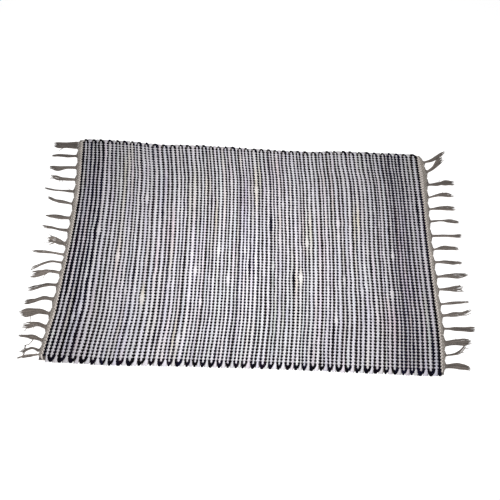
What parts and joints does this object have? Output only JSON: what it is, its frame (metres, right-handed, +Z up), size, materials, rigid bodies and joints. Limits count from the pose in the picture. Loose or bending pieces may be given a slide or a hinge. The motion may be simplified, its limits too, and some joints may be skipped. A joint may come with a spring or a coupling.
{
  "type": "fringed dhurrie rug",
  "caption": "Flat-woven cotton rug with ribbed dark and light weft stripes, a plain heading at each end and a fringe of loose tassels.",
  "frame": {"origin": "on the floor, under the middle of the cloth without its fringe", "axes": "+X along the rug's length, from one fringed end to the other; +Y across it, along the weft; +Z up, out of its upper face"},
  "size_m": [1.0481, 0.6246, 0.0093],
  "materials": {
    "light_weft": "soft matt cotton rag weft, white with lavender, pink and cream picks",
    "dark_weft": "matt black and navy cotton rag weft",
    "warp_cotton": "matt undyed grey-brown cotton warp and heading"
  },
  "bodies": {
    "root": {"woven_field": "light_weft", "left_heading_fringe": "warp_cotton", "right_heading_fringe": "warp_cotton"}
  },
  "joints": []
}
